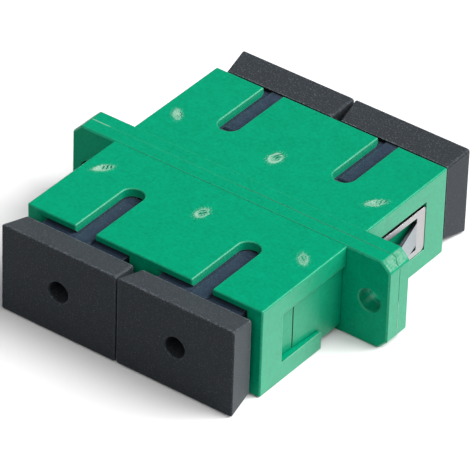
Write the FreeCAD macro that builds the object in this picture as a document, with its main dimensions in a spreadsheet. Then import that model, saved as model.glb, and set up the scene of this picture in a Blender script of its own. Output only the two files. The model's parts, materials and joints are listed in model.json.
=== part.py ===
import FreeCAD, Part

import os
import re

import Sketcher

# Duplex adapter for two pairs of square push-pull fibre connectors, millimetres.
# +X runs from the left ear to the right ear, +Y to the rear, +Z up.
# The origin lies under the middle, on the plane of the ears' lower edges.

SIZES = {
    # Ports and the moulded walls round them
    "channel_pitch": 12.7,
    "port_width": 9.15,
    "port_height": 7.45,
    "side_wall": 1.875,
    "top_wall": 0.875,
    "housing_length": 13.8,
    "lead_in": 0.32,
    "key_slot_width": 2.2,
    "key_slot_length": 7.75,
    "key_slot_edge": 0.08,
    "block_edge_radius": 0.18,
    # Flange with its two screw ears
    "flange_thickness": 1.52,
    "flange_proud": 0.05,
    "flange_edge": 0.14,
    "seam_edge": 0.05,
    "ear_reach": 4.65,
    "ear_corner": 0.95,
    "ear_corner_radius": 0.45,
    "screw_inset": 2.6,
    "screw_hole": 2.25,
    "screw_hole_rim": 0.1,
    # Recess for the panel clip, with a floor that falls away from the flange
    "ledge_height": 2.05,
    "recess_height": 5.2,
    "recess_end_margin": 3.08,
    "seat_depth": 0.34,
    "recess_depth": 0.75,
    "strap_groove_depth": 0.4,
    "strap_groove_corner": 0.5,
    "ledge_corner": 0.3,
    "witness_width": 0.16,
    "witness_depth": 0.12,
    "witness_inset": 2.32,
    "witness_height": 4.4,
    # Step left by the mould's side slider across the end faces
    "slider_step": 0.08,
    "slider_margin": 0.05,
    # Latch insert
    "plate_width": 9.6,
    "plate_height": 8.0,
    "plate_thickness": 1.0,
    "plate_clearance": 0.04,
    "holder_wall": 0.65,
    "holder_lip_length": 0.6,
    "holder_lip_bore": 2.95,
    "hook_gap": 0.3,
    "hook_thickness": 0.7,
    "hook_width": 3.0,
    "hook_length": 8.7,
    "barb_rise": 0.45,
    "barb_length": 1.1,
    # Split alignment sleeve
    "sleeve_bore": 2.5,
    "sleeve_wall": 0.35,
    "sleeve_length": 11.4,
    "sleeve_slit": 0.45,
    "sleeve_clearance": 0.05,
    "sleeve_end_play": 0.1,
    # Panel clip folded from one strip of spring steel
    "clip_thickness": 0.3,
    "clip_bend": 0.4,
    "strap_width": 3.1,
    "strap_clearance": 0.1,
    "clip_top_gap": 0.4,
    "clip_edge_clearance": 0.05,
    "clip_corner": 0.6,
    "frame_top": 0.65,
    "frame_bottom": 0.6,
    "frame_end": 1.25,
    "frame_root": 1.3,
    "tongue_gap": 0.53,
    "tongue_angle": 15.5,
    "tongue_length": 6.2,
    # Dust plug
    "plug_clearance": 0.1,
    "plug_inner_clearance": 0.225,
    "plug_inner_rise": 0.42,
    "plug_insertion": 8.0,
    "plug_gap": 0.83,
    "plug_web": 0.75,
    "plug_hole": 2.1,
    "plug_hole_rim": 0.12,
    "shank_lead": 0.3,
    "key_rib_rise": 0.195,
    "key_rib_clearance": 0.2,
    "key_rib_edge": 0.14,
    "head_thickness": 2.95,
    "head_spacing": 0.1,
    "head_setback": 0.04,
    "head_side_inset": 0.395,
    "head_top_inset": 0.6,
    "head_edge_radius": 0.26,
    "head_face_edge": 0.12,
}

# Lengths that follow from the driving sizes, as expressions in their names
BODY_HALF_WIDTH = "((channel_pitch + port_width) / 2 + side_wall)"
BODY_HEIGHT = "(port_height + 2 * top_wall)"
EAR_HALF_SPAN = f"({BODY_HALF_WIDTH} + ear_reach)"
FLANGE_HEIGHT = f"({BODY_HEIGHT} + 2 * flange_proud)"
AXIS_HEIGHT = f"({FLANGE_HEIGHT} / 2)"
CHANNEL_X = "(channel_pitch / 2)"
RECESS_TOP = "(ledge_height + recess_height)"
RECESS_END = "(housing_length - recess_end_margin)"
GROOVE_END = "(flange_thickness + strap_width + 2 * strap_clearance)"
SEAT_X = f"({BODY_HALF_WIDTH} - seat_depth)"
FLOOR_END_X = f"({BODY_HALF_WIDTH} - recess_depth)"
STRAP_SEAT_Z = "(flange_proud + strap_groove_depth)"
HOLDER_BORE = "(sleeve_bore + 2 * sleeve_wall + 2 * sleeve_clearance)"
HOLDER_DIAMETER = f"({HOLDER_BORE} + 2 * holder_wall)"
HOLDER_DEPTH = "(sleeve_length / 2 + sleeve_end_play)"
HOOK_X = f"({HOLDER_DIAMETER} / 2 + hook_gap)"
SHANK_WIDTH = "(port_width - 2 * plug_clearance)"
SHANK_HEIGHT = "(port_height - 2 * plug_clearance)"
SHANK_END = "(housing_length - plug_insertion)"
HEAD_BACK = "(housing_length + plug_gap)"
HEAD_FACE = f"({HEAD_BACK} + head_thickness)"
HEAD_WIDTH = "(channel_pitch - head_spacing)"
HEAD_HEIGHT = f"({BODY_HEIGHT} - 2 * head_setback)"
HOLLOW_WIDTH = f"(2 * ({HOOK_X} + hook_thickness + plug_inner_clearance))"
HOLLOW_HEIGHT = f"({HOLDER_DIAMETER} + 2 * plug_inner_rise)"
CLEAR_OF_PART = 5

doc = FreeCAD.newDocument("FibreAdapter")
sheet = doc.addObject("Spreadsheet::Sheet", "Sizes")
for row, (alias, number) in enumerate(SIZES.items(), start=1):
    sheet.set(f"A{row}", alias)
    sheet.set(f"B{row}", str(number))
    sheet.setAlias(f"B{row}", alias)
doc.recompute()


def value(expression):
    """The number that an expression in the size names gives."""
    return float(sheet.evalExpression(str(expression)))


def bind(target, path, expression):
    """Tie one property of an object to the sheet."""

    def full_name(word):
        return "Sizes." + word[0] if word[0] in SIZES else word[0]

    target.setExpression(path, re.sub(r"[a-z_]+", full_name, str(expression)))


def new_body(name):
    """An empty body whose name is also its file's name."""
    body = doc.addObject("PartDesign::Body", name)
    body.Label = name
    return body


def origin_plane(body, role):
    """One of the body's own origin planes."""
    return next(plane for plane in body.Origin.OriginFeatures if plane.Role == role)


def new_sketch(body, name, role, offset=0):
    """A sketch parallel to an origin plane, offset along that plane's normal."""
    sketch = body.newObject("Sketcher::SketchObject", name)
    sketch.AttachmentSupport = [(origin_plane(body, role), "")]
    sketch.MapMode = "FlatFace"
    bind(sketch, "AttachmentOffset.Base.z", offset)
    return sketch


def dimension(sketch, kind, expression, *reference):
    """A driving dimension tied to the sheet."""
    number = value(expression)
    index = sketch.addConstraint(Sketcher.Constraint(kind, *reference, number))
    bind(sketch, f"Constraints[{index}]", expression)


def outline(sketch, points):
    """A closed outline through points (x, y) or (x, y, corner radius), all expressions.

    Neighbours that share a coordinate are joined by a level or upright line with one dimension
    from the axis. A corner that such lines leave open gets a dimension of its own.
    """
    count = len(points)
    corners = [FreeCAD.Vector(value(point[0]), value(point[1])) for point in points]
    radii = [value(point[2]) if len(point) > 2 else 0.0 for point in points]
    first = sketch.GeometryCount
    for index in range(count):
        start, end = corners[index], corners[(index + 1) % count]
        along = (end - start).normalize()
        line = Part.LineSegment(start + along * radii[index], end - along * radii[(index + 1) % count])
        sketch.addGeometry(line)
    upright = [points[i][0] == points[(i + 1) % count][0] for i in range(count)]
    level = [points[i][1] == points[(i + 1) % count][1] for i in range(count)]
    for index in range(count):
        line = first + index
        if upright[index]:
            sketch.addConstraint(Sketcher.Constraint("Vertical", line))
            dimension(sketch, "DistanceX", points[index][0], -1, 1, line, 1)
        if level[index]:
            sketch.addConstraint(Sketcher.Constraint("Horizontal", line))
            dimension(sketch, "DistanceY", points[index][1], -1, 1, line, 1)
    for index in range(count):
        before, line = first + (index - 1) % count, first + index
        if radii[index]:
            round_corner(sketch, before, line, corners[index], points[index][2])
            continue
        sketch.addConstraint(Sketcher.Constraint("Coincident", before, 2, line, 1))
        if not (upright[index] or upright[index - 1]):
            dimension(sketch, "DistanceX", points[index][0], -1, 1, line, 1)
        if not (level[index] or level[index - 1]):
            dimension(sketch, "DistanceY", points[index][1], -1, 1, line, 1)


def arc_ends(sketch, arc, point):
    """The numbers of an arc's two ends, the one at the given point first."""
    return sorted((1, 2), key=lambda end: (sketch.getPoint(arc, end) - point).Length)


def round_corner(sketch, before, after, corner, radius):
    """An arc of the given radius, tangent to the end of one line and the start of the next."""
    start = sketch.getPoint(before, 2)
    end = sketch.getPoint(after, 1)
    centre = start + end - corner
    middle = centre + (corner - centre).normalize() * value(radius)
    arc = sketch.addGeometry(Part.Arc(start, middle, end))
    at_start, at_end = arc_ends(sketch, arc, start)
    sketch.addConstraint(Sketcher.Constraint("Tangent", before, 2, arc, at_start))
    sketch.addConstraint(Sketcher.Constraint("Tangent", arc, at_end, after, 1))
    dimension(sketch, "Radius", radius, arc)


def rectangle(sketch, left, right, low, high):
    """A rectangle between two x and two y values."""
    outline(sketch, [(left, low), (right, low), (right, high), (left, high)])


def centred_rectangle(sketch, width, height, x=0, y=0):
    """A rectangle of the given width and height round a point."""
    sides = (f"{x} - {width} / 2", f"{x} + {width} / 2")
    rectangle(sketch, *sides, f"{y} - {height} / 2", f"{y} + {height} / 2")


def circle(sketch, diameter, x=0, y=0):
    """A circle round a point."""
    shape = Part.Circle(FreeCAD.Vector(value(x), value(y)), FreeCAD.Vector(0, 0, 1), value(diameter) / 2)
    index = sketch.addGeometry(shape)
    dimension(sketch, "DistanceX", x, -1, 1, index, 3)
    dimension(sketch, "DistanceY", y, -1, 1, index, 3)
    dimension(sketch, "Diameter", diameter, index)


def round_ended_slot(sketch, x, width, open_end, closed_end):
    """A slot along y, square at its open end and fully round at its closed end."""
    half = value(width) / 2
    left, right = value(x) - half, value(x) + half
    outer, centre = value(open_end), value(closed_end) - half
    if outer > centre:
        centre = value(closed_end) + half
    corners = [FreeCAD.Vector(left, centre), FreeCAD.Vector(left, outer)]
    corners += [FreeCAD.Vector(right, outer), FreeCAD.Vector(right, centre)]
    lines = [sketch.addGeometry(Part.LineSegment(*pair)) for pair in zip(corners, corners[1:])]
    tip = FreeCAD.Vector(value(x), value(closed_end))
    arc = sketch.addGeometry(Part.Arc(corners[3], tip, corners[0]))
    start, end = arc_ends(sketch, arc, corners[3])
    for line, kind in zip(lines, ("Vertical", "Horizontal", "Vertical")):
        sketch.addConstraint(Sketcher.Constraint(kind, line))
    sketch.addConstraint(Sketcher.Constraint("Coincident", lines[0], 2, lines[1], 1))
    sketch.addConstraint(Sketcher.Constraint("Coincident", lines[1], 2, lines[2], 1))
    sketch.addConstraint(Sketcher.Constraint("Tangent", lines[2], 2, arc, start))
    sketch.addConstraint(Sketcher.Constraint("Tangent", arc, end, lines[0], 1))
    side = 1 if centre > outer else -1
    dimension(sketch, "DistanceX", f"{x} - {width} / 2", -1, 1, lines[0], 1)
    dimension(sketch, "DistanceX", f"{x} + {width} / 2", -1, 1, lines[2], 1)
    dimension(sketch, "DistanceY", open_end, -1, 1, lines[1], 1)
    dimension(sketch, "DistanceY", f"{closed_end} - {side} * {width} / 2", -1, 1, arc, 3)


def extrude(kind, body, sketch, name, length, flip=False):
    """A pad or pocket of a sketch; a pocket has to take material away and a pad to add some."""
    doc.recompute()
    volume_before = body.Shape.Volume if body.Tip else 0.0
    feature = body.newObject("PartDesign::" + kind, name)
    feature.Profile = sketch
    bind(feature, "Length", length)
    feature.Reversed = flip
    doc.recompute()
    change = body.Shape.Volume - volume_before
    if change == 0 or (change > 0) != (kind == "Pad"):
        raise RuntimeError(f"{name} in {body.Label} changes the volume by {change}")
    return feature


def dress(kind, body, name, expression, keep):
    """A fillet or chamfer on the edges of the body's last feature that pass the test."""
    doc.recompute()
    previous = body.Tip
    names = [f"Edge{i}" for i, edge in enumerate(previous.Shape.Edges, start=1) if keep(edge)]
    feature = body.newObject("PartDesign::" + kind, name)
    feature.Base = (previous, names)
    bind(feature, "Radius" if kind == "Fillet" else "Size", expression)
    doc.recompute()
    return feature


def mirror(body, name, originals, role):
    """Copies of features on the other side of an origin plane."""
    feature = body.newObject("PartDesign::Mirrored", name)
    feature.Originals = originals
    feature.MirrorPlane = (origin_plane(body, role), [""])
    body.Tip = feature
    doc.recompute()
    return feature


def lies_at(edge, axis, expression):
    """Whether an edge lies in the plane where one coordinate has the given value."""
    level = value(expression)
    return all(abs(getattr(vertex, axis) - level) < 1e-4 for vertex in edge.Vertexes)


def is_full_circle(edge):
    """Whether an edge is a whole circle."""
    return len(edge.Vertexes) == 1 and edge.Curve.TypeId == "Part::GeomCircle"


def place(body, x=0, z=0, turned=False):
    """Put a body at its channel and height; the rear pieces are turned half round."""
    turn = FreeCAD.Rotation(FreeCAD.Vector(0, 0, 1), 180 if turned else 0)
    body.Placement = FreeCAD.Placement(FreeCAD.Vector(value(x), 0, value(z)), turn)
    bind(body, "Placement.Base.x", x)
    bind(body, "Placement.Base.z", z)


def make_housing(name, turned):
    """One moulded half, from the seam at y = 0 forwards: ports, key slots, ears and clip recess."""
    body = new_body(name)

    ears = new_sketch(body, name + "_ear_outline", "XZ_Plane")
    inner_x, low_z, high_z = f"{EAR_HALF_SPAN} - ear_corner", "ear_corner", f"{FLANGE_HEIGHT} - ear_corner"
    outline(ears, [
        (f"-({inner_x})", "0"), (inner_x, "0"), (EAR_HALF_SPAN, low_z), (EAR_HALF_SPAN, high_z),
        (inner_x, FLANGE_HEIGHT), (f"-({inner_x})", FLANGE_HEIGHT), (f"-{EAR_HALF_SPAN}", high_z),
        (f"-{EAR_HALF_SPAN}", low_z)])
    extrude("Pad", body, ears, name + "_flange", "flange_thickness")
    dress("Fillet", body, name + "_ear_corners", "ear_corner_radius",
          lambda edge: edge.BoundBox.YLength > value("flange_thickness / 2"))
    dress("Chamfer", body, name + "_seam_edge", "seam_edge", lambda edge: lies_at(edge, "Y", 0))
    dress("Chamfer", body, name + "_flange_edge", "flange_edge",
          lambda edge: lies_at(edge, "Y", "-flange_thickness"))

    block = new_sketch(body, name + "_block_outline", "XZ_Plane", "seam_edge")
    block_sides = (f"-{BODY_HALF_WIDTH}", BODY_HALF_WIDTH)
    rectangle(block, *block_sides, "flange_proud", f"{FLANGE_HEIGHT} - flange_proud")
    extrude("Pad", body, block, name + "_block", "housing_length - seam_edge")
    dress("Fillet", body, name + "_block_edge", "block_edge_radius", is_block_edge)

    ports = new_sketch(body, name + "_port_outlines", "XZ_Plane")
    plates = new_sketch(body, name + "_plate_seats", "XZ_Plane")
    for side in (-1, 1):
        centred_rectangle(ports, "port_width", "port_height", f"{side} * {CHANNEL_X}", AXIS_HEIGHT)
        centred_rectangle(plates, "plate_width", "plate_height", f"{side} * {CHANNEL_X}", AXIS_HEIGHT)
    extrude("Pocket", body, ports, name + "_ports", "housing_length", flip=True)
    dress("Chamfer", body, name + "_lead_in", "lead_in", is_mouth_edge)
    extrude("Pocket", body, plates, name + "_plate_pockets", "plate_thickness", flip=True)

    slots = new_sketch(body, name + "_key_slot_outlines", "XY_Plane", AXIS_HEIGHT)
    for side in (-1, 1):
        round_ended_slot(slots, f"{side} * {CHANNEL_X}", "key_slot_width",
                         "-(housing_length + lead_in)", "-(housing_length - key_slot_length)")
    extrude("Pocket", body, slots, name + "_key_slots", FLANGE_HEIGHT, flip=True)
    dress("Chamfer", body, name + "_key_slot_edges", "key_slot_edge", is_key_slot_edge)

    cut_clip_seat(body, name)

    screws = new_sketch(body, name + "_screw_holes_outline", "XZ_Plane")
    for side in (-1, 1):
        circle(screws, "screw_hole", f"{side} * ({BODY_HALF_WIDTH} + screw_inset)", AXIS_HEIGHT)
    extrude("Pocket", body, screws, name + "_screw_holes", "flange_thickness", flip=True)
    dress("Chamfer", body, name + "_screw_hole_rims", "screw_hole_rim",
          lambda edge: lies_at(edge, "Y", "-flange_thickness") and is_full_circle(edge))

    place(body, turned=turned)
    return body


def is_block_edge(edge):
    """Whether an edge is one of the block's four long edges or bounds its end face."""
    box = edge.BoundBox
    is_long = box.YLength > value("housing_length") / 2
    return is_long or lies_at(edge, "Y", "-housing_length")


def is_mouth_edge(edge):
    """Whether an edge bounds a port's mouth in the housing's end face."""
    box = edge.BoundBox
    in_width = max(-box.XMin, box.XMax) < value(f"{BODY_HALF_WIDTH} - side_wall / 2")
    rise = max(abs(z - value(AXIS_HEIGHT)) for z in (box.ZMin, box.ZMax))
    in_height = rise < value("(port_height + top_wall) / 2")
    return lies_at(edge, "Y", "-housing_length") and in_width and in_height


def is_key_slot_edge(edge):
    """Whether an edge is a key slot's side or round end in the block's top face."""
    in_top = lies_at(edge, "Z", f"{FLANGE_HEIGHT} - flange_proud")
    return in_top and 0.1 < edge.BoundBox.YLength / value("key_slot_length") < 1


def cut_clip_seat(body, name):
    """The recess in each side, the strap's groove round the underside and the witness line."""
    outside = f"{BODY_HALF_WIDTH} + {CLEAR_OF_PART}"
    recess = new_sketch(body, name + "_recess_floor", "XY_Plane", RECESS_TOP)
    outline(recess, [
        (outside, "-flange_thickness"), (SEAT_X, "-flange_thickness"), (SEAT_X, f"-{GROOVE_END}"),
        (FLOOR_END_X, f"-{RECESS_END}"), (outside, f"-{RECESS_END}")])
    right = extrude("Pocket", body, recess, name + "_recess", "recess_height")
    mirror(body, name + "_recesses", [right], "YZ_Plane")

    groove = new_sketch(body, name + "_strap_path", "XZ_Plane", "flange_thickness")
    outline(groove, [
        (f"-({outside})", -CLEAR_OF_PART), (outside, -CLEAR_OF_PART), (outside, RECESS_TOP),
        (SEAT_X, RECESS_TOP), (SEAT_X, STRAP_SEAT_Z, "strap_groove_corner"),
        (f"-{SEAT_X}", STRAP_SEAT_Z, "strap_groove_corner"), (f"-{SEAT_X}", RECESS_TOP),
        (f"-({outside})", RECESS_TOP)])
    extrude("Pocket", body, groove, name + "_strap_groove", f"{GROOVE_END} - flange_thickness", flip=True)
    dress("Fillet", body, name + "_ledge_corners", "ledge_corner",
          lambda edge: lies_at(edge, "Y", f"-{GROOVE_END}") and lies_at(edge, "Z", "ledge_height"))

    # The witness line stands across the falling floor, so its depth is counted from the floor there.
    witness_y = f"-({RECESS_END} - witness_inset)"
    fall = f"(recess_depth - seat_depth) * witness_inset / ({RECESS_END} - {GROOVE_END})"
    witness_x = f"{FLOOR_END_X} + {fall} - witness_depth"
    witness_ends = (f"{witness_y} - witness_width / 2", f"{witness_y} + witness_width / 2")
    witness = new_sketch(body, name + "_witness_outline", "XY_Plane", "ledge_height + witness_height")
    rectangle(witness, witness_x, outside, *witness_ends)
    extrude("Pocket", body, witness, name + "_witness_line", "witness_height")

    # The slider that forms the recess leaves the end face between its edges a little lower.
    slider_ends = ("ledge_height - slider_margin", f"{RECESS_TOP} + slider_margin")
    wall_x = f"{BODY_HALF_WIDTH} - side_wall - lead_in"
    step = new_sketch(body, name + "_slider_outline", "XZ_Plane", "housing_length - slider_step")
    rectangle(step, wall_x, f"{BODY_HALF_WIDTH} - block_edge_radius", *slider_ends)
    right_step = extrude("Pocket", body, step, name + "_slider_step", "2 * slider_step")
    mirror(body, name + "_slider_steps", [right_step], "YZ_Plane")


def make_latch(name, side, turned):
    """A latch insert: plate at the seam, sleeve holder with a lip, and two hook arms."""
    body = new_body(name)
    plate = new_sketch(body, name + "_plate_outline", "XZ_Plane")
    plate_sides = ("(plate_width - 2 * plate_clearance)", "(plate_height - 2 * plate_clearance)")
    centred_rectangle(plate, *plate_sides)
    extrude("Pad", body, plate, name + "_plate", "plate_thickness - plate_clearance")

    holder = new_sketch(body, name + "_holder_outline", "XZ_Plane")
    circle(holder, HOLDER_DIAMETER)
    extrude("Pad", body, holder, name + "_holder", f"{HOLDER_DEPTH} + holder_lip_length")

    arm = new_sketch(body, name + "_arm_section", "XZ_Plane")
    rectangle(arm, HOOK_X, f"{HOOK_X} + hook_thickness", "-hook_width / 2", "hook_width / 2")
    right_arm = extrude("Pad", body, arm, name + "_arm", "hook_length")
    arm_middle, barb_tip = f"{HOOK_X} + hook_thickness / 2", f"{HOOK_X} - barb_rise"
    barb_end = "-hook_length + barb_length"
    barb = new_sketch(body, name + "_barb_outline", "XY_Plane", "-hook_width / 2")
    outline(barb, [
        (HOOK_X, "-hook_length"), (arm_middle, "-hook_length"), (arm_middle, barb_end),
        (HOOK_X, barb_end), (barb_tip, f"{barb_end} - barb_rise / 2"),
        (barb_tip, f"{barb_end} - barb_rise")])
    right_barb = extrude("Pad", body, barb, name + "_barb", "hook_width")
    mirror(body, name + "_hooks", [right_arm, right_barb], "YZ_Plane")

    bore = new_sketch(body, name + "_bore_outline", "XZ_Plane")
    circle(bore, HOLDER_BORE)
    extrude("Pocket", body, bore, name + "_bore", HOLDER_DEPTH, flip=True)
    lip = new_sketch(body, name + "_lip_outline", "XZ_Plane")
    circle(lip, "holder_lip_bore")
    extrude("Pocket", body, lip, name + "_lip_bore", f"{HOLDER_DEPTH} + holder_lip_length", flip=True)
    place(body, f"{side} * {CHANNEL_X}", AXIS_HEIGHT, turned)
    return body


def make_sleeve(name, side):
    """The split ceramic tube that lines up two ferrules."""
    body = new_body(name)
    ring = new_sketch(body, name + "_ring", "XZ_Plane", "-sleeve_length / 2")
    circle(ring, "sleeve_bore + 2 * sleeve_wall")
    circle(ring, "sleeve_bore")
    extrude("Pad", body, ring, name + "_tube", "sleeve_length")
    slit = new_sketch(body, name + "_slit_outline", "XZ_Plane", "-sleeve_length / 2")
    rectangle(slit, "-sleeve_slit / 2", "sleeve_slit / 2", "0", "sleeve_bore")
    extrude("Pocket", body, slit, name + "_slit", "sleeve_length", flip=True)
    place(body, f"{side} * {CHANNEL_X}", AXIS_HEIGHT)
    return body


def make_clip(name):
    """The folded strip: strap under the rear half, an arm up each side and a sprung tongue in each arm."""
    body = new_body(name)
    face_x = f"({SEAT_X} + clip_thickness)"
    strap_face_z = f"({STRAP_SEAT_Z} - clip_thickness)"
    arm_top = f"({RECESS_TOP} - clip_top_gap)"
    arm_low = "(ledge_height + clip_edge_clearance)"
    strap_near = "(flange_thickness + strap_clearance)"
    arm_end = f"({RECESS_END} - clip_edge_clearance)"
    tongue_low = f"({arm_low} + frame_bottom + tongue_gap)"
    tongue_top = f"({arm_top} - frame_top - tongue_gap)"
    tongue_root = f"({arm_end} - frame_end)"

    fold = new_sketch(body, name + "_fold", "XZ_Plane", f"-{strap_near}")
    outer_bend = "clip_bend + clip_thickness"
    outline(fold, [
        (f"-{face_x}", arm_top), (f"-{face_x}", strap_face_z, outer_bend),
        (face_x, strap_face_z, outer_bend), (face_x, arm_top), (SEAT_X, arm_top),
        (SEAT_X, STRAP_SEAT_Z, "clip_bend"), (f"-{SEAT_X}", STRAP_SEAT_Z, "clip_bend"),
        (f"-{SEAT_X}", arm_top)])
    extrude("Pad", body, fold, name + "_strap", "strap_width", flip=True)

    arm = new_sketch(body, name + "_arm_outline", "YZ_Plane", SEAT_X)
    outline(arm, [
        (f"{strap_near} + strap_width / 2", arm_low), (arm_end, arm_low, "clip_corner"),
        (arm_end, arm_top, "clip_corner / 2"), (f"{strap_near} + strap_width / 2", arm_top)])
    right_arm = extrude("Pad", body, arm, name + "_arm", "clip_thickness")
    window_ends = (f"{strap_near} + frame_root", tongue_root)
    window = new_sketch(body, name + "_window_outline", "YZ_Plane", SEAT_X)
    rectangle(window, *window_ends, f"{arm_low} + frame_bottom", f"{arm_top} - frame_top")
    mirror(body, name + "_arms", [right_arm], "YZ_Plane")
    right_window = extrude("Pocket", body, window, name + "_window", "clip_thickness", flip=True)
    mirror(body, name + "_windows", [right_window], "YZ_Plane")

    # The tongue starts in the arm's thickness and leans out towards the flange.
    tongue = new_sketch(body, name + "_tongue_side", "XY_Plane", tongue_low)
    lean_x, lean_y = "tongue_length * sin(tongue_angle)", "tongue_length * cos(tongue_angle)"
    wall_x, wall_y = "clip_thickness * cos(tongue_angle)", "clip_thickness * sin(tongue_angle)"
    outline(tongue, [
        (SEAT_X, f"{tongue_root} + frame_end / 2"), (face_x, f"{tongue_root} + frame_end / 2"),
        (face_x, tongue_root), (f"{face_x} + {lean_x}", f"{tongue_root} - {lean_y}"),
        (f"{face_x} + {lean_x} - {wall_x}", f"{tongue_root} - {lean_y} - {wall_y}"),
        (SEAT_X, f"{tongue_root} - clip_thickness * tan(tongue_angle / 2)")])
    right_tongue = extrude("Pad", body, tongue, name + "_tongue", f"{tongue_top} - {tongue_low}")
    mirror(body, name + "_tongues", [right_tongue], "YZ_Plane")
    return body


def make_plug(name, side, turned):
    """A soft dust plug: tapered head, hollow square shank with a key rib, and a hole down the middle."""
    body = new_body(name)
    plan = new_sketch(body, name + "_head_plan", "XY_Plane", f"-{HEAD_HEIGHT} / 2")
    back_half_width = f"({HEAD_WIDTH} / 2 - head_side_inset)"
    outline(plan, [
        (f"-{HEAD_WIDTH} / 2", f"-{HEAD_FACE}"), (f"{HEAD_WIDTH} / 2", f"-{HEAD_FACE}"),
        (back_half_width, f"-{HEAD_BACK}"), (f"-{back_half_width}", f"-{HEAD_BACK}")])
    extrude("Pad", body, plan, name + "_head", HEAD_HEIGHT)
    bevels = new_sketch(body, name + "_head_bevels", "YZ_Plane", f"-{HEAD_WIDTH} / 2")
    for sign in ("", "-"):
        outline(bevels, [
            (f"-{HEAD_FACE}", f"{sign}{HEAD_HEIGHT} / 2"), (f"-{HEAD_BACK}", f"{sign}{HEAD_HEIGHT} / 2"),
            (f"-{HEAD_BACK}", f"{sign}({HEAD_HEIGHT} / 2 - head_top_inset)")])
    extrude("Pocket", body, bevels, name + "_head_taper", HEAD_WIDTH, flip=True)
    dress("Fillet", body, name + "_head_edges", "head_edge_radius",
          lambda edge: edge.BoundBox.YLength > value("head_thickness / 2"))
    dress("Fillet", body, name + "_head_face_edge", "head_face_edge",
          lambda edge: lies_at(edge, "Y", f"-{HEAD_FACE}"))

    shank_depth = f"({HEAD_BACK} - {SHANK_END} + head_thickness / 2)"
    shank = new_sketch(body, name + "_shank_section", "XZ_Plane", SHANK_END)
    centred_rectangle(shank, SHANK_WIDTH, SHANK_HEIGHT)
    extrude("Pad", body, shank, name + "_shank", shank_depth)
    dress("Chamfer", body, name + "_shank_lead", "shank_lead",
          lambda edge: lies_at(edge, "Y", f"-{SHANK_END}"))
    rib_end = "(housing_length - key_slot_length + key_slot_width / 2 + key_rib_clearance)"
    rib_half_width = "(key_slot_width / 2 - key_rib_clearance)"
    rib_top = f"{SHANK_HEIGHT} / 2 + key_rib_rise"
    rib = new_sketch(body, name + "_key_rib_section", "XZ_Plane", rib_end)
    rectangle(rib, f"-{rib_half_width}", rib_half_width, "0", rib_top)
    extrude("Pad", body, rib, name + "_key_rib", f"{HEAD_BACK} - {rib_end} + head_thickness / 2")
    dress("Chamfer", body, name + "_key_rib_edges", "key_rib_edge",
          lambda edge: lies_at(edge, "Z", rib_top) and not lies_at(edge, "Y", f"-{HEAD_BACK}"))

    hollow = new_sketch(body, name + "_hollow_section", "XZ_Plane", SHANK_END)
    centred_rectangle(hollow, HOLLOW_WIDTH, HOLLOW_HEIGHT)
    extrude("Pocket", body, hollow, name + "_hollow", f"{HEAD_BACK} - {SHANK_END} - plug_web", flip=True)
    hole = new_sketch(body, name + "_hole_outline", "XZ_Plane", HEAD_FACE)
    circle(hole, "plug_hole")
    extrude("Pocket", body, hole, name + "_hole", "head_thickness + 2 * plug_web")
    dress("Chamfer", body, name + "_hole_rim", "plug_hole_rim",
          lambda edge: lies_at(edge, "Y", f"-{HEAD_FACE}") and is_full_circle(edge))
    place(body, f"{side} * {CHANNEL_X}", AXIS_HEIGHT, turned)
    return body


def make_parts():
    """Every separate piece of the adapter, in the order of assembly."""
    parts = [make_housing("housing_front", False), make_housing("housing_rear", True)]
    for end, turned in (("front", False), ("rear", True)):
        for hand, side in (("left", -1), ("right", 1)):
            parts.append(make_latch(f"latch_{end}_{hand}", side, turned))
            parts.append(make_plug(f"plug_{end}_{hand}", side, turned))
    parts.append(make_sleeve("sleeve_left", -1))
    parts.append(make_sleeve("sleeve_right", 1))
    parts.append(make_clip("panel_clip"))
    return parts


def check_document(parts):
    """Stop if any object failed or any piece is not one valid solid."""
    doc.recompute()
    for item in doc.Objects:
        if "Invalid" in item.State or "Error" in item.State:
            raise RuntimeError(f"{item.Label} did not build: {item.State}")
    for part in parts:
        shape = part.Shape
        if shape.isNull() or not shape.isValid() or len(shape.Solids) != 1:
            raise RuntimeError(f"{part.Label} is not one valid solid")


PARTS = make_parts()
check_document(PARTS)
os.makedirs("parts", exist_ok=True)
for part in PARTS:
    part.Shape.exportStep(f"parts/{part.Label}.step")
    box = part.Shape.BoundBox
    low = tuple(round(bound, 2) for bound in (box.XMin, box.YMin, box.ZMin))
    high = tuple(round(bound, 2) for bound in (box.XMax, box.YMax, box.ZMax))
    print(f"{part.Label}: {part.Shape.Volume:.1f} mm3, {low} to {high}")
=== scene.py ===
import json
import logging
import math
from dataclasses import dataclass
from enum import Enum

import bpy
import numpy as np
from mathutils import Matrix, Vector


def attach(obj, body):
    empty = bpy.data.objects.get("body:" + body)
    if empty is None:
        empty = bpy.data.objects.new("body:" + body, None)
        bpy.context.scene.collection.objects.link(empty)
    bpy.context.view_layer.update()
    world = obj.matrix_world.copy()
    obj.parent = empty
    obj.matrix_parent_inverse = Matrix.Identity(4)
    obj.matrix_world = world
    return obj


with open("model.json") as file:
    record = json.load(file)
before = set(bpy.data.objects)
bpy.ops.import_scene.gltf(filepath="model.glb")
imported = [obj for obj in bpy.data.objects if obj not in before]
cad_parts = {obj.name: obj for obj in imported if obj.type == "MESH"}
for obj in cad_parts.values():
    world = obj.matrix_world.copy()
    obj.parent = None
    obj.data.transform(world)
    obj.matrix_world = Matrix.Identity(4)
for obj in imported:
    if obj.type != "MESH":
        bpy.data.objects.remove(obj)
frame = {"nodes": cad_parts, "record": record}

MM = 0.001

# Facing shares between which gloss rises; nought is head on and one is edge on.
FACING_ENDS = (0.365, 0.535)
# Occlusion beside an outer edge, seen from inside, from where the edge starts to where it is full.
OUTER_EDGE_ENDS = (0.97, 0.6)
# Share of the way into the worn band at which the rounded normal is full.
ROUNDING_END = 0.1
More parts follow.
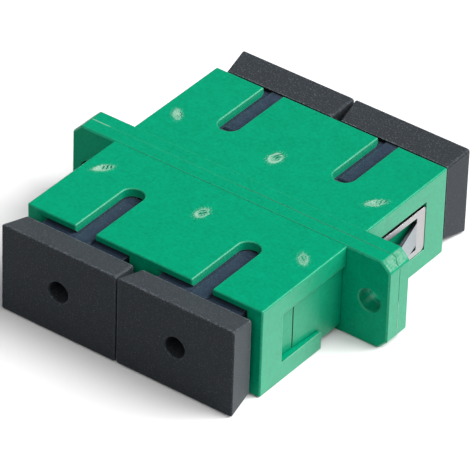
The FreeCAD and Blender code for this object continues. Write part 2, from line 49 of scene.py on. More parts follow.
# Occlusion in a crevice, from where it starts to where it is full.
CREVICE_ENDS = (0.9, 0.5)
OCCLUSION_SAMPLES = 8
BEVEL_SAMPLES = 6
# Angle between faces from which an added piece's edge is drawn sharp.
SHARP_DEG = 50.0
# Plane waves that make up one relief, and the spread of their lengths about the middle one.
WAVES = 12
WAVE_SPREAD = (0.6, 1.6)
WAVE_GAIN = 0.25

Colour = tuple[float, float, float, float]
Socket = bpy.types.NodeSocket
Tree = bpy.types.NodeTree
Marks = dict[str, np.ndarray]

log = logging.getLogger("fibre_adapter")


def linear(colour: str) -> Colour:
    """Turn an sRGB hex colour into linear light.

    Args:
        colour: six hex digits with a leading hash sign.

    Returns:
        Linear red, green and blue, and full opacity.
    """
    channels = []
    for start in (1, 3, 5):
        share = int(colour[start:start + 2], 16) / 255.0
        channels.append(share / 12.92 if share <= 0.04045 else ((share + 0.055) / 1.055) ** 2.4)
    return channels[0], channels[1], channels[2], 1.0


def add_node(tree: Tree, kind: str, settings: dict | None = None,
             sockets: dict | None = None) -> bpy.types.Node:
    """Add a shader node with its settings, socket values and links.

    Args:
        tree: the material's node tree.
        kind: the node's class name without its "ShaderNode" prefix.
        settings: properties of the node by name.
        sockets: input sockets by name or number; a value that is an output socket is linked.

    Returns:
        The new node.
    """
    node = tree.nodes.new("ShaderNode" + kind)
    for name, setting in (settings or {}).items():
        setattr(node, name, setting)
    for name, wanted in (sockets or {}).items():
        if isinstance(wanted, Socket):
            tree.links.new(wanted, node.inputs[name])
        else:
            node.inputs[name].default_value = wanted
    return node


def per_mm(size_mm: float) -> float:
    """Noise scale whose cells are about the given size across, on Object coordinates in metres."""
    return 1.0 / (size_mm * MM)


def noise(tree: Tree, place: Socket, cell_mm: float, detail: float, roughness: float = 0.5,
          distortion: float = 0.0) -> Socket:
    """Add a smooth random value about 0.5.

    Args:
        tree: the material's node tree.
        place: where on the piece, in Object coordinates.
        cell_mm: how far apart its swells are.
        detail: how many finer layers it has.
        roughness: how strong each finer layer is beside the one before.
        distortion: how far the swells are swirled.

    Returns:
        The socket with the value.
    """
    return add_node(tree, "TexNoise", sockets={
        "Vector": place, "Scale": per_mm(cell_mm), "Detail": detail, "Roughness": roughness,
        "Distortion": distortion}).outputs["Fac"]


def calculate(tree: Tree, operation: str, *terms: Socket | float, clamp: bool = False) -> Socket:
    """Add one step of arithmetic on sockets or numbers; clamped, it stays between 0 and 1."""
    return add_node(tree, "Math", {"operation": operation, "use_clamp": clamp},
                    dict(enumerate(terms))).outputs["Value"]


def remap(tree: Tree, value: Socket, ends: tuple[float, float],
          results: tuple[float, float] = (0.0, 1.0)) -> Socket:
    """Carry a value over from one stretch to another, held at both ends.

    Args:
        tree: the material's node tree.
        value: the value to carry over.
        ends: the stretch that it comes from, which may run downwards.
        results: what the two ends become.

    Returns:
        The socket with the result.
    """
    return add_node(tree, "MapRange", sockets={
        "Value": value, "From Min": ends[0], "From Max": ends[1],
        "To Min": results[0], "To Max": results[1]}).outputs["Result"]


def mix(tree: Tree, share: Socket, first: Socket | Colour, second: Socket | Colour) -> Socket:
    """Blend two colours: a share of nought is all the first, and one is all the second."""
    return add_node(tree, "MixRGB", sockets={
        "Fac": share, "Color1": first, "Color2": second}).outputs["Color"]


def object_place(tree: Tree) -> Socket:
    """Place on the piece in Object coordinates, in metres."""
    return add_node(tree, "TexCoord").outputs["Object"]


def face_normal(tree: Tree) -> Socket:
    """Direction in which the face looks."""
    return add_node(tree, "NewGeometry").outputs["Normal"]


def bevel_normal(tree: Tree, radius_mm: float) -> Socket:
    """Normal that makes every edge look rounded by the given radius."""
    return add_node(tree, "Bevel", {"samples": BEVEL_SAMPLES},
                    {"Radius": radius_mm * MM}).outputs["Normal"]


def bump(tree: Tree, height: Socket, height_mm: float, strength: float,
         normal: Socket | None = None) -> Socket:
    """Tilt the normal as a low relief would.

    Args:
        tree: the material's node tree.
        height: the relief's height as a share.
        height_mm: the height that a share of one stands for.
        strength: how much of the tilt is used.
        normal: the normal that it starts from, or the face's own.

    Returns:
        The socket with the normal.
    """
    sockets = {"Height": height, "Distance": height_mm * MM, "Strength": strength}
    if normal is not None:
        sockets["Normal"] = normal
    return add_node(tree, "Bump", sockets=sockets).outputs["Normal"]


def turned_away(tree: Tree, faced: float, grazed: float,
                ends: tuple[float, float] = FACING_ENDS) -> Socket:
    """Value that changes as a face turns away from the eye.

    Args:
        tree: the material's node tree.
        faced: value on faces that look at the eye.
        grazed: value on faces seen at a flat angle.
        ends: the facing shares between which it changes.

    Returns:
        The socket with the value.
    """
    facing = add_node(tree, "LayerWeight", sockets={"Blend": 0.5})
    return remap(tree, facing.outputs["Facing"], ends, (faced, grazed))


def convex_edges(tree: Tree, reach_mm: float) -> Socket:
    """Share from 0 to 1 of how near a point lies to an outer edge; inner corners stay at 0.

    Rays that leave the point inwards soon come out again beside an outer edge. They also do so
    through a wall thinner than their reach, which would look worn all over.

    Args:
        tree: the material's node tree.
        reach_mm: how far from the edge it fades out.

    Returns:
        The socket with the share.
    """
    inside = add_node(
        tree, "AmbientOcclusion",
        {"samples": OCCLUSION_SAMPLES, "inside": True, "only_local": True},
        {"Distance": reach_mm * MM})
    return remap(tree, inside.outputs["AO"], OUTER_EDGE_ENDS)


def rounded_normal(tree: Tree, radius_mm: float, outer: Socket) -> Socket:
    """Normal that makes outer edges look rounded and leaves inner corners sharp.

    Args:
        tree: the material's node tree.
        radius_mm: the rounding's radius.
        outer: how near each point lies to an outer edge, from convex_edges.

    Returns:
        The socket with the normal.
    """
    is_outer = remap(tree, outer, (0.0, ROUNDING_END))
    mixed = mix(tree, is_outer, face_normal(tree), bevel_normal(tree, radius_mm))
    return add_node(tree, "VectorMath", {"operation": "NORMALIZE"}, {0: mixed}).outputs["Vector"]


def crevices(tree: Tree, reach_mm: float) -> Socket:
    """Share from 0 to 1 of how closed in a point lies; open faces stay at 0.

    Args:
        tree: the material's node tree.
        reach_mm: how far the walls that close it in may stand off.

    Returns:
        The socket with the share.
    """
    around = add_node(tree, "AmbientOcclusion",
                      {"samples": OCCLUSION_SAMPLES, "only_local": True},
                      {"Distance": reach_mm * MM})
    return remap(tree, around.outputs["AO"], CREVICE_ENDS)


def new_material(name: str) -> tuple[bpy.types.Material, Tree]:
    """Start a material with an empty node tree.

    Args:
        name: the real material and how its surface was made.

    Returns:
        The material and its tree.
    """
    material = bpy.data.materials.new(name)
    material.use_nodes = True
    material.node_tree.nodes.clear()
    return material, material.node_tree


def add_surface(tree: Tree, sockets: dict) -> None:
    """Close the tree with a principled surface that has the given sockets."""
    shader = add_node(tree, "BsdfPrincipled", sockets=sockets)
    add_node(tree, "OutputMaterial", sockets={"Surface": shader.outputs["BSDF"]})


@dataclass(frozen=True)
class MouldedGreenPlastic:
    """Injection moulded polyester in the green of angled-contact adapters.

    The pigment is so deep that it also tints the sheen, and only a grazing view shows a pale wash.
    The spark-eroded mould leaves an even satin grain, and the pigment swirls a little along the
    flow. Rounded edges and bevels that look at the eye catch a weak white highlight, which holes
    and other closed-in walls lose. Outer edges are paled, partly as wear and partly as a painted
    highlight, and crevices are darkened with painted shade.

    Where a runner or a weld tore the surface, the stress turns it whitish: the attribute "whitened"
    says how much. A second attribute darkens the torn cracks and the weld's scuff with painted
    shade.
    Both are nought on a plain face. Thin torn skins have no moulded edges, so their recipe leaves
    all that has to do with edges out.

    The reach of the pale edges stays under 0.08 mm, the skin that the port walls have over a
    concealed cut.
    """

    name: str = "green polyester, moulded"
    has_edges: bool = True
    deep: str = "#006b4c"
    pale: str = "#007f5d"
    torn: str = "#7fa08e"
    # Dark green of painted shade in torn slits, crevices and the weld's scuff.
    crack: str = "#004c36"
    sheen_tint: str = "#b4e0cc"
    corner_tint: str = "#ffffff"
    cloud_mm: float = 1.1
    cloud_swirl: float = 0.4
    cloud_middle: float = 0.75
    speck_mm: float = 0.3
    speck_share: float = 1.5
    grain_mm: float = 0.16
    grain_height_mm: float = 0.004
    grain_strength: float = 0.6
    edge_mm: float = 0.1
    edge_reach_mm: float = 0.07
    edge_wear_and_highlight: float = 0.6
    # How strongly painted shade darkens the crevices.
    crevice_shade: float = 0.6
    crevice_mm: float = 0.15
    crevice_edge_loss: float = 3.0
    faced_gloss: float = 0.04
    grazed_gloss: float = 1.0
    corner_gloss: float = 0.14
    corner_ends: tuple[float, float] = (0.27, 0.31)
    hole_mm: float = 2.4
    hole_gloss: float = 0.08
    roughness: float = 0.33
    ior: float = 1.55

    def pigment(self, tree: Tree, place: Socket) -> Socket:
        """Mottle the green and lay the torn plastic and its cracks over it.

        Args:
            tree: the material's node tree.
            place: where on the piece.

        Returns:
            The socket with the colour.
        """
        clouds = noise(tree, place, self.cloud_mm, detail=5.0, roughness=0.7,
                       distortion=self.cloud_swirl)
        specks = noise(tree, place, self.speck_mm, detail=2.0, roughness=0.6)
        mottle = calculate(tree, "MULTIPLY_ADD", specks, self.speck_share,
                           calculate(tree, "SUBTRACT", clouds, self.cloud_middle))
        colour = mix(tree, mottle, linear(self.deep), linear(self.pale))
        # Torn paleness, then painted shade in torn cracks and over the weld's scuff.
        for attribute, tint in (("whitened", self.torn), ("painted_shade", self.crack)):
            mark = add_node(tree, "Attribute", {"attribute_name": attribute})
            colour = mix(tree, mark.outputs["Fac"], colour, linear(tint))
        return colour

    def edge_gloss(self, tree: Tree, gloss: Socket, corner: Socket) -> Socket:
        """Add the corners' highlight and take gloss away in holes.

        Args:
            tree: the material's node tree.
            gloss: the flat faces' gloss.
            corner: share of the corner highlight.

        Returns:
            The socket with the gloss.
        """
        highlight = calculate(tree, "MULTIPLY", corner, self.corner_gloss)
        bare = calculate(tree, "MAXIMUM", gloss, highlight)
        open_sky = remap(tree, crevices(tree, self.hole_mm), (0.0, 1.0), (1.0, self.hole_gloss))
        return calculate(tree, "MULTIPLY", bare, open_sky)

    def pale_edges_and_crevice_shade(self, tree: Tree, colour: Socket, outer: Socket, grain: Socket) -> Socket:
        """Pale the outer edges in patches as wear and painted highlight; paint shade in crevices.

        Args:
            tree: the material's node tree.
            colour: the colour so far.
            outer: how near each point lies to an outer edge.
            grain: what makes the wear patchy.

        Returns:
            The socket with the colour.
        """
        closed_in = crevices(tree, self.crevice_mm)
        open_share = calculate(tree, "MULTIPLY_ADD", closed_in, -self.crevice_edge_loss, 1.0,
                               clamp=True)
        # Painted highlight and wear: outer edges are paled towards the torn colour.
        pale_edge_share = calculate(tree, "MULTIPLY", calculate(tree, "MULTIPLY", outer, open_share),
                         self.edge_wear_and_highlight)
        patchy = calculate(tree, "MULTIPLY", pale_edge_share, grain)
        # Painted shade: crevices are darkened towards the crack colour.
        shade = calculate(tree, "MULTIPLY", closed_in, self.crevice_shade)
        pale = mix(tree, patchy, colour, linear(self.torn))
        return mix(tree, shade, pale, linear(self.crack))

    def make(self) -> bpy.types.Material:
        """Build the material.

        Returns:
            The finished material.
        """
        material, tree = new_material(self.name)
        place = object_place(tree)
        colour = self.pigment(tree, place)
        grain = noise(tree, place, self.grain_mm, detail=2.0, roughness=0.7)
        gloss = turned_away(tree, self.faced_gloss, self.grazed_gloss)
        sheen = linear(self.sheen_tint)
        normal = None
        if self.has_edges:
            outer = convex_edges(tree, self.edge_reach_mm)
            corner = calculate(tree, "MAXIMUM",
                               turned_away(tree, 1.0, 0.0, self.corner_ends), outer)
            gloss = self.edge_gloss(tree, gloss, corner)
            sheen = mix(tree, corner, sheen, linear(self.corner_tint))
            normal = rounded_normal(tree, self.edge_mm, outer)
            colour = self.pale_edges_and_crevice_shade(tree, colour, outer, grain)
        add_surface(tree, {
            "Base Color": colour, "Roughness": self.roughness, "IOR": self.ior,
            "Specular IOR Level": gloss, "Specular Tint": sheen,
            "Normal": bump(tree, grain, self.grain_height_mm, self.grain_strength, normal)})
        return material


@dataclass(frozen=True)
class DustPlugRubber:
    """Soft black thermoplastic elastomer, moulded in a grit-blasted mould.

    Dust settles as a film on faces that look up, and catches as pale specks in the grain and along
    the edges, so the heads look dull charcoal, not jet black. The shank, which is told apart by its
    place along the plug, is drawn darker and bluish as painted shade and painted reflection for its
    place inside the housing, and holds fewer specks. Painted shade turns bores and hollows black.
    The grain is drawn coarse, so that it shows.
    """

    name: str = "black elastomer, moulded"
    base: str = "#1e2124"
    dusty: str = "#2a2d30"
    speck: str = "#565b60"
    # Shank colours: darker and bluer as painted shade and reflection inside the housing.
    shank: str = "#16202c"
    shank_pale: str = "#2b3745"
    # Near black, painted shade in bores and hollows.
    hollow_shade_colour: str = "#060708"
    sheen_tint: str = "#6c7b88"
    cloud_mm: float = 0.9
    cloud_share: float = 0.3
    grain_mm: float = 0.13
    grain_height_mm: float = 0.016
    grain_strength: float = 0.9
    shank_ends_mm: tuple[float, float] = (14.45, 14.6)
    upward_ends: tuple[float, float] = (0.2, 0.9)
    film: tuple[float, float] = (0.1, 0.9)
    speck_hold: tuple[float, float] = (0.6, 1.3)
    speck_peaks: tuple[float, float] = (0.56, 0.74)
    dust_edge_mm: float = 0.22
    edge_dust: float = 0.16
    shank_dust: float = 0.5
    hollow_mm: float = 1.8
    hollow_shade: float = 0.9
    edge_mm: float = 0.08
    roughness: float = 0.5
    faced_gloss: float = 0.12
    grazed_gloss: float = 0.9

    def rubber(self, tree: Tree, place: Socket, upward: Socket, is_head: Socket) -> Socket:
        """Colour the head with its dust film, and the shank with painted shade and reflection.

        Args:
            tree: the material's node tree.
            place: where on the plug.
            upward: how far the face looks up.
            is_head: one on the head, nought on the shank.

        Returns:
            The socket with the colour.
        """
        cloud = noise(tree, place, self.cloud_mm, detail=4.0, roughness=0.7)
        settled = remap(tree, upward, self.upward_ends, self.film)
        dust = calculate(tree, "MULTIPLY_ADD", cloud, self.cloud_share, settled)
        head = mix(tree, dust, linear(self.base), linear(self.dusty))
        # Painted shade and reflection: the shank is drawn darker and bluer than the head.
        shank = mix(tree, cloud, linear(self.shank), linear(self.shank_pale))
        return mix(tree, is_head, shank, head)

    def specks(self, tree: Tree, grain: Socket, upward: Socket, is_head: Socket) -> Socket:
        """Share of pale dust specks: the grain's peaks, more on edges, on top and on the head.

        Args:
            tree: the material's node tree.
            grain: the moulded grain.
            upward: how far the face looks up.
            is_head: one on the head, nought on the shank.

        Returns:
            The socket with the share.
        """
        caught = calculate(tree, "MULTIPLY_ADD", convex_edges(tree, self.dust_edge_mm),
                           self.edge_dust, grain)
        held = calculate(tree, "MULTIPLY",
                         remap(tree, upward, self.upward_ends, self.speck_hold),
                         remap(tree, is_head, (0.0, 1.0), (self.shank_dust, 1.0)))
        return calculate(tree, "MULTIPLY", remap(tree, caught, self.speck_peaks), held, clamp=True)

    def make(self) -> bpy.types.Material:
        """Build the material.

        Returns:
            The finished material.
        """
        material, tree = new_material(self.name)
        place = object_place(tree)
        upward = add_node(tree, "SeparateXYZ", sockets={"Vector": face_normal(tree)}).outputs["Z"]
        axes = add_node(tree, "SeparateXYZ", sockets={"Vector": place})
        near, far = (end * MM for end in self.shank_ends_mm)
        is_head = remap(tree, calculate(tree, "ABSOLUTE", axes.outputs["Y"]), (near, far))
        grain = noise(tree, place, self.grain_mm, detail=3.0, roughness=0.8)
        dusted = mix(tree, self.specks(tree, grain, upward, is_head),
                     self.rubber(tree, place, upward, is_head), linear(self.speck))
        # Painted shade: bores and hollows are darkened by occlusion.
        painted_hollow_shade = calculate(tree, "MULTIPLY", crevices(tree, self.hollow_mm), self.hollow_shade)
        add_surface(tree, {
            "Base Color": mix(tree, painted_hollow_shade, dusted, linear(self.hollow_shade_colour)),
            "Roughness": self.roughness,
            "Specular IOR Level": turned_away(tree, self.faced_gloss, self.grazed_gloss),
            "Specular Tint": linear(self.sheen_tint),
            "Normal": bump(tree, grain, self.grain_height_mm, self.grain_strength,
                           bevel_normal(tree, self.edge_mm))})
        return material


@dataclass(frozen=True)
class RolledSpringSteel:
    """Cold-rolled stainless spring strip, sheared and folded.

    Rolling leaves fine lines along the strip and a bright, slightly soft reflection. The sheared
    edges, which look up or down, are rough and dark. Bending has dulled the tongues, whose faces
    turn a little towards the flange.
    """

    name: str = "stainless spring strip, rolled"
    bright: str = "#b7b4b5"
    dull: str = "#a6a4a6"
    bent: str = "#979ca2"
    sheared: str = "#3c4046"
    line_mm: float = 0.06
    line_stretch: tuple[float, float, float] = (1.0, 0.08, 1.0)
    line_height_mm: float = 0.002
    line_strength: float = 0.5
    sheared_ends: tuple[float, float] = (0.75, 0.95)
    bent_ends: tuple[float, float] = (0.12, 0.25)
    edge_mm: float = 0.05
    roughness: float = 0.36

    def make(self) -> bpy.types.Material:
        """Build the material.

        Returns:
            The finished material.
        """
        material, tree = new_material(self.name)
        along = add_node(tree, "Mapping", sockets={
            "Vector": object_place(tree), "Scale": self.line_stretch}).outputs["Vector"]
        lines = noise(tree, along, self.line_mm, detail=2.0)
        facing = add_node(tree, "SeparateXYZ", sockets={"Vector": face_normal(tree)}).outputs
        is_sheared = remap(tree, calculate(tree, "ABSOLUTE", facing["Z"]), self.sheared_ends)
        is_bent = remap(tree, calculate(tree, "ABSOLUTE", facing["Y"]), self.bent_ends)
        colour = mix(tree, lines, linear(self.dull), linear(self.bright))
        colour = mix(tree, is_bent, colour, linear(self.bent))
        colour = mix(tree, is_sheared, colour, linear(self.sheared))
        add_surface(tree, {
            "Base Color": colour, "Metallic": 1.0, "Roughness": self.roughness,
            "Normal": bump(tree, lines, self.line_height_mm, self.line_strength,
                           bevel_normal(tree, self.edge_mm))})
        return material


@dataclass(frozen=True)
class PlainMoulding:
    """A light engineering plastic or a fired ceramic, told apart by colour, gloss and grain."""

    name: str
    light: str
    shade: str
    roughness: float
    grain_mm: float
    ior: float
    relief_mm: float = 0.002
    relief_strength: float = 0.3

    def make(self) -> bpy.types.Material:
        """Build the material."""
        material, tree = new_material(self.name)
        cloud = noise(tree, object_place(tree), self.grain_mm, detail=3.0)
        add_surface(tree, {
            "Base Color": mix(tree, cloud, linear(self.shade), linear(self.light)),
            "Roughness": self.roughness, "IOR": self.ior,
            "Normal": bump(tree, cloud, self.relief_mm, self.relief_strength)})
        return material


class Finish(Enum):
    """The finishes of the adapter's pieces, by the record's slot names."""

    GREEN = "green_plastic"
    RUBBER = "black_rubber"
    STEEL = "spring_steel"
    LATCH = "latch_plastic"
    CERAMIC = "ceramic"


def make_finishes() -> dict[Finish, bpy.types.Material]:
    """Build every finish once.

    Returns:
        The materials by finish.
    """
    recipes = {
        Finish.GREEN: MouldedGreenPlastic(),
        Finish.RUBBER: DustPlugRubber(),
        Finish.STEEL: RolledSpringSteel(),
        Finish.LATCH: PlainMoulding(
            name="natural acetal, moulded", light="#cfcac0", shade="#c4beb2", roughness=0.4,
            grain_mm=2.0, ior=1.48),
        Finish.CERAMIC: PlainMoulding(
            name="zirconia, ground", light="#dedbd4", shade="#d4d0c6", roughness=0.18,
            grain_mm=0.8, ior=2.1),
    }
    return {finish: recipe.make() for finish, recipe in recipes.items()}


def ripples(x: np.ndarray, y: np.ndarray, size_mm: float, seed: int) -> np.ndarray:
    """Smooth random relief: plane waves of random heading, length and phase, added up.

    Args:
        x: first coordinate in millimetres.
        y: second coordinate in millimetres.
        size_mm: the middle wave's length.
        seed: the draw's seed.

    Returns:
        Values of about -1 to 1, in the shape of x.
    """
    draw = np.random.default_rng(seed)
    heading, phase = draw.uniform(0.0, 2.0 * np.pi, (2, WAVES))
    wave = 2.0 * np.pi / (size_mm * draw.uniform(*WAVE_SPREAD, WAVES))
    along = x[..., None] * np.cos(heading) + y[..., None] * np.sin(heading)
    return np.sin(along * wave + phase).sum(axis=-1) * WAVE_GAIN


def soft_step(low: float, high: float, x: np.ndarray) -> np.ndarray:
    """Nought below low, one above high, and the cubic 3t^2 - 2t^3 between them."""
    share = np.clip((x - low) / (high - low), 0.0, 1.0)
    return share * share * (3.0 - 2.0 * share)


def plateau(stops: tuple[float, float, float, float], x: np.ndarray) -> np.ndarray:
    """One between the second and third stop, nought outside the others, soft steps between."""
    return soft_step(stops[0], stops[1], x) * (1.0 - soft_step(stops[2], stops[3], x))


def bearings(count: int) -> np.ndarray:
    """Evenly spaced bearings once round, from nought."""
    return np.linspace(0.0, 2.0 * np.pi, count, endpoint=False)


def add_object(name: str, data: bpy.types.ID) -> bpy.types.Object:
    """Put a mesh, a light or a camera into the scene as a new object."""
    thing = bpy.data.objects.new(name, data)
    bpy.context.scene.collection.objects.link(thing)
    return thing


def add_shell(name: str, rings: np.ndarray, body: str,
              material: bpy.types.Material, marks: Marks) -> None:
    """Make a closed piece from rings of points, with a pole in the middle of each end ring.

    Point j of ring k is joined to point j + 1 of its ring and to both of these on ring k + 1 by one
    quad, and each end ring to its pole by triangles. The sum of the faces' signed volumes says
    whether they all have to be turned over.

    Args:
        name: the piece's name.
        rings: (ring, point, xyz) in millimetres.
        body: the body that it rides on.
        material: the finish's material.
        marks: values by attribute name, one for each (ring, point).
    """
    count, around = rings.shape[:2]
    poles = rings[[0, -1]].mean(axis=1)
    points = np.concatenate([rings.reshape(-1, 3), poles]) * MM
    here = np.arange(around)
    ahead = (here + 1) % around
    row = np.arange(count - 1)[:, None] * around
    corners = [row + here, row + ahead, row + around + ahead, row + around + here]
    quads = np.stack(corners, axis=-1).reshape(-1, 4)
    last = (count - 1) * around
    first_fan = np.stack([ahead, here, np.full(around, count * around)], axis=-1)
    last_fan = np.stack([last + here, last + ahead, np.full(around, count * around + 1)], axis=-1)
    triangles = np.concatenate([quads[:, [0, 1, 2]], quads[:, [0, 2, 3]], first_fan, last_fan])
    middle = points.mean(axis=0)
    a, b, c = (points[triangles[:, k]] - middle for k in range(3))
    if np.einsum("ij,ij->i", a, np.cross(b, c)).sum() < 0.0:
        quads, first_fan, last_fan = quads[:, ::-1], first_fan[:, ::-1], last_fan[:, ::-1]
    faces = quads.tolist() + first_fan.tolist() + last_fan.tolist()
    mesh = bpy.data.meshes.new(name)
    mesh.from_pydata(points.tolist(), [], faces)
    for mark, values in marks.items():
        ends = values[[0, -1]].mean(axis=1)
        mesh.attributes.new(mark, "FLOAT", "POINT").data.foreach_set(
            "value", np.concatenate([values.ravel(), ends]).astype(np.float32))
    mesh.shade_smooth()
    mesh.set_sharp_from_angle(angle=math.radians(SHARP_DEG))
    mesh.materials.append(material)
    piece = add_object(name, mesh)
    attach(piece, body)
    log.info("made %s: %d faces", name, len(mesh.polygons))


@dataclass
class GateScar:
    """One torn spot where a runner was twisted off the top face.

    The outline is a superellipse |u/length|^p + |v/width|^p = 1 about the spot's own axes u and v;
    p of 2 is an oval, and a smaller p gives a leaf with pointed ends. The plastic is stretched pale
    inside it, more at the rim, and slits and specks of the plain green stay between. Fields without
    a unit are shares of the way out to the outline, shares of paleness, or how far the ripples
    named rough and fine warp something.
    """

    name: str
    x_mm: float
    y_mm: float
    half_length_mm: float
    half_width_mm: float
    turn_deg: float
    pointedness: float
    floor: float
    rim: float
    blob: tuple[float, float, float]
    slit_middle: tuple[float, float]
    slit_turn_deg: float
    slit_share: float
    seed: int
    top_mm: float = 9.25
    proud_mm: float = 0.001
    lip_mm: float = 0.012
    lip_fine: float = 0.4
    pale_lift_mm: float = 0.006
    bed_mm: float = 0.03
    most_mm: float = 0.048
    rough_mm: float = 0.5
    fine_mm: float = 0.2
    rough_warp: float = 0.05
    fine_warp: float = 0.08
    fade_ends: tuple[float, float] = (0.66, 1.02)
    fade_rough: float = 0.07
    rim_at: float = 0.72
    rim_spread: float = 0.2
    rim_strong: float = 0.2
    rim_floor_loss: float = 0.45
    blob_paleness: float = 0.4
    fine_paleness: float = 0.26
    slit_pitch_mm: float = 0.34
    slit_oval: tuple[float, float] = (0.35, 0.62)
    slit_crests: tuple[float, float] = (0.1, 0.8)
    slit_fine: float = 0.3
    speck_paleness: float = 0.55
    speck_crests: tuple[float, float] = (0.55, 1.0)
    speck_fade: float = 1.05
    start: float = 0.02
    margin: float = 1.35
    rings: int = 56
    around: int = 128

    def spread(self) -> tuple[np.ndarray, np.ndarray, np.ndarray]:
        """Lay out the patch's points.

        Returns:
            The share of the way out (ring, 1), and u and v (ring, point) in millimetres.
        """
        share = np.linspace(self.start, self.margin, self.rings)[:, None]
        bearing = bearings(self.around)[None, :]
        power = self.pointedness
        reach = (np.abs(np.cos(bearing) / self.half_length_mm) ** power
                 + np.abs(np.sin(bearing) / self.half_width_mm) ** power) ** (-1.0 / power)
        return share, share * reach * np.cos(bearing), share * reach * np.sin(bearing)

    def slits(self, u: np.ndarray, v: np.ndarray, rough: np.ndarray, fine: np.ndarray
              ) -> np.ndarray:
        """Crests of a rippled cosine, inside an oval about the slits' middle.

        Args:
            u, v: place along and across the spot in millimetres.
            rough, fine: the coarse and the fine ripples.

        Returns:
            The share of slits at each point.
        """
        tilt = math.radians(self.slit_turn_deg)
        across = v * math.cos(tilt) - u * math.sin(tilt) + self.rough_warp * rough
        off = np.hypot((u - self.slit_middle[0]) / self.half_length_mm,
                       (v - self.slit_middle[1]) / self.half_width_mm)
        inside = 1.0 - soft_step(*self.slit_oval, off + self.fine_warp * fine)
        crests = np.cos(across * 2.0 * np.pi / self.slit_pitch_mm) + self.slit_fine * fine
        return inside * self.slit_share * soft_step(*self.slit_crests, crests)

    def paleness(self, u: np.ndarray, v: np.ndarray, rim: np.ndarray, fine: np.ndarray
                 ) -> np.ndarray:
        """Floor, which a strong rim lowers beneath it, plus the rim, a blob and fine ripples.

        Args:
            u, v: place along and across the spot in millimetres.
            rim: the rim's bell shape.
            fine: the fine ripples.

        Returns:
            The share of torn plastic at each point.
        """
        blob_u, blob_v, blob_size = self.blob
        blob = np.exp(-((u - blob_u) ** 2 + (v - blob_v) ** 2) / blob_size ** 2)
        loss = self.rim_floor_loss * rim * (self.rim > self.rim_strong)
        pale = (self.floor * (1.0 - loss) + self.rim * rim + self.blob_paleness * blob
                + self.fine_paleness * fine)
        return np.clip(pale, 0.0, 1.0)

    def build(self, material: bpy.types.Material) -> None:
        """Build the torn patch: a low uneven skin, closed by a flat underside.

        The paleness fades out over fade_ends, moved by the ripples, and slits cut into it. The
        height follows the paleness and the rim's bell shape, and beyond the outline the skin lies
        flush with a few pale specks.

        Args:
            material: the green plastic.
        """
        share, u, v = self.spread()
        rough = ripples(u, v, self.rough_mm, self.seed + 1)
        fine = ripples(u, v, self.fine_mm, self.seed + 2)
        fade = 1.0 - soft_step(
            *self.fade_ends, share + self.fade_rough * rough + self.fine_warp * fine)
        rim = np.exp(-((share + self.rough_warp * rough - self.rim_at) / self.rim_spread) ** 2)
        slits = self.slits(u, v, rough, fine)
        specks = (self.speck_paleness * soft_step(*self.speck_crests, fine)
                  * (1.0 - soft_step(self.speck_fade, self.margin, share)))
        pale = fade * self.paleness(u, v, rim, fine) * (1.0 - slits)
        whitened = np.clip(pale + (1.0 - fade) * specks, 0.0, 1.0)
        lift = self.pale_lift_mm * whitened + self.lip_mm * rim * (1.0 + self.lip_fine * fine)
        height = np.clip(self.proud_mm + fade * lift * (1.0 - slits), self.proud_mm, self.most_mm)
        turn = math.radians(self.turn_deg)
        x = self.x_mm + u * math.cos(turn) - v * math.sin(turn)
        y = self.y_mm + u * math.sin(turn) + v * math.cos(turn)
        upper = np.stack([x, y, self.top_mm + height], axis=-1)
        bed = np.full_like(x, self.top_mm - self.bed_mm)
        lower = np.stack([x, y, bed], axis=-1)[[-1, 0]]
        plain = np.zeros((2, self.around))
        # The slits are darkened with painted shade.
        marks = {"whitened": np.concatenate([whitened, plain]),
                 "painted_shade": np.concatenate([slits, plain])}
        rings = np.concatenate([upper, lower])
        add_shell(self.name, rings, "adapter", material, marks)


@dataclass
class GateScars:
    """The six runner scars of the top face: one at the middle of each half, one at each corner."""

    middle_y_mm: float = 5.4
    corner_x_mm: float = 10.95

    def build(self, material: bpy.types.Material) -> None:
        """Build all six of the given green plastic."""
        x, y = self.corner_x_mm, self.middle_y_mm
        scars = [
            GateScar(
                name="scar_front_middle", x_mm=0.0, y_mm=-y, half_length_mm=1.0,
                half_width_mm=0.66, turn_deg=90.0, pointedness=1.95, floor=0.26, rim=0.42,
                blob=(-0.5, 0.3, 0.3), slit_middle=(0.1, 0.0), slit_turn_deg=-38.0,
                slit_share=1.0, seed=11),
            GateScar(
                name="scar_rear_middle", x_mm=0.0, y_mm=y, half_length_mm=1.06,
                half_width_mm=0.74, turn_deg=90.0, pointedness=1.95, floor=0.14, rim=0.8,
                blob=(-0.3, 0.1, 0.3), slit_middle=(0.45, -0.05), slit_turn_deg=-30.0,
                slit_share=0.9, seed=23),
            GateScar(
                name="scar_front_left", x_mm=-x, y_mm=-y, half_length_mm=1.24,
                half_width_mm=0.58, turn_deg=53.0, pointedness=1.6, floor=0.52, rim=0.05,
                blob=(-0.5, 0.0, 0.4), slit_middle=(0.45, 0.0), slit_turn_deg=62.0,
                slit_share=1.0, seed=37),
            GateScar(
                name="scar_rear_left", x_mm=-x, y_mm=y, half_length_mm=1.06,
                half_width_mm=0.54, turn_deg=127.0, pointedness=1.9, floor=0.46, rim=0.1,
                blob=(0.1, -0.05, 0.3), slit_middle=(-0.1, -0.3), slit_turn_deg=10.0,
                slit_share=0.7, seed=41),
            GateScar(
                name="scar_front_right", x_mm=x, y_mm=-y, half_length_mm=1.06,
                half_width_mm=0.56, turn_deg=-53.0, pointedness=1.95, floor=0.28, rim=0.36,
                blob=(0.25, 0.1, 0.2), slit_middle=(-0.1, 0.0), slit_turn_deg=20.0,
                slit_share=0.5, seed=53),
            GateScar(
                name="scar_rear_right", x_mm=x, y_mm=y, half_length_mm=1.2,
                half_width_mm=0.58, turn_deg=53.0, pointedness=1.6, floor=0.4, rim=0.45,
                blob=(-0.15, 0.05, 0.26), slit_middle=(0.5, 0.0), slit_turn_deg=50.0,
                slit_share=0.7, seed=67),
        ]
        for scar in scars:
            scar.build(material)


